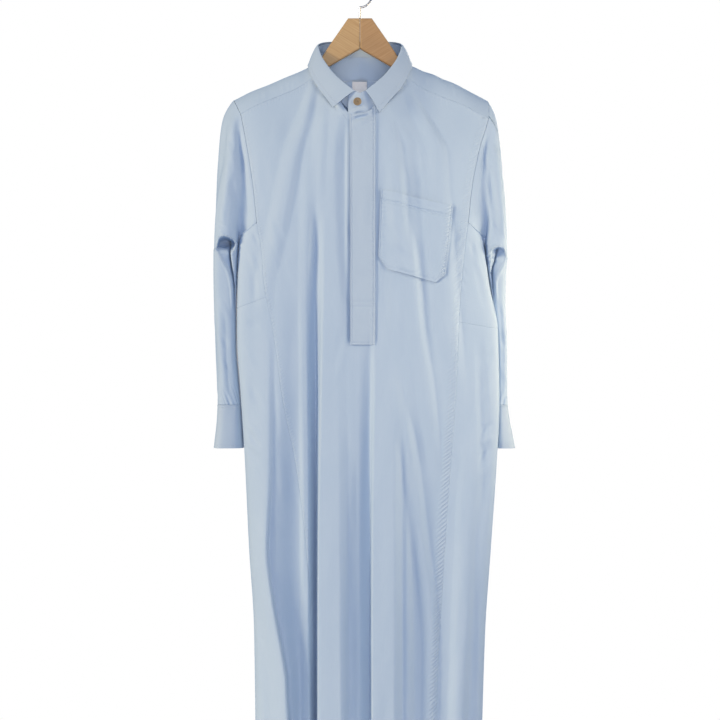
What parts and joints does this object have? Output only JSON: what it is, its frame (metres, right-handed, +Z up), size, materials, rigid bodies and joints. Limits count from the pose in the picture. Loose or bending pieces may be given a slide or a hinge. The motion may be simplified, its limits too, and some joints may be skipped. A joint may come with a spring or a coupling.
{
  "type": "thobe robe on hanger",
  "caption": "Ankle-length long-sleeved thobe robe with shirt collar, half-length front placket and chest pocket, hanging open and empty on a wooden hanger.",
  "frame": {"origin": "inside top of the hanger's hook, where a rail carries it", "axes": "+Z up, -Y the robe's front, +X to the viewer's right when looking at the front; left and right in node names are the viewer's"},
  "size_m": [0.5299, 0.2567, 1.5715],
  "materials": {
    "cotton": "light-blue mercerised cotton poplin with a soft sheen",
    "cotton_band": "the same cotton, two layers fused and pressed flat",
    "button": "tan turned button, satin",
    "label": "white woven tape, bare",
    "wood": "light beech, sanded and thinly lacquered",
    "steel": "bright drawn wire"
  },
  "bodies": {
    "root": {"front_panel": "cotton", "back_panel": "cotton", "yoke": "cotton", "gusset_left": "cotton", "gusset_right": "cotton", "side_front_left": "cotton", "side_front_right": "cotton", "side_back_left": "cotton", "side_back_right": "cotton", "sleeve_left": "cotton", "sleeve_right": "cotton", "cuff_left": "cotton_band", "cuff_right": "cotton_band", "collar_stand": "cotton_band", "collar_fall": "cotton_band", "placket": "cotton_band", "placket_under": "cotton", "pocket": "cotton", "collar_button": "button", "neck_label": "label", "hanger_arm_left": "wood", "hanger_arm_right": "wood", "hanger_hook": "steel"}
  },
  "joints": []
}
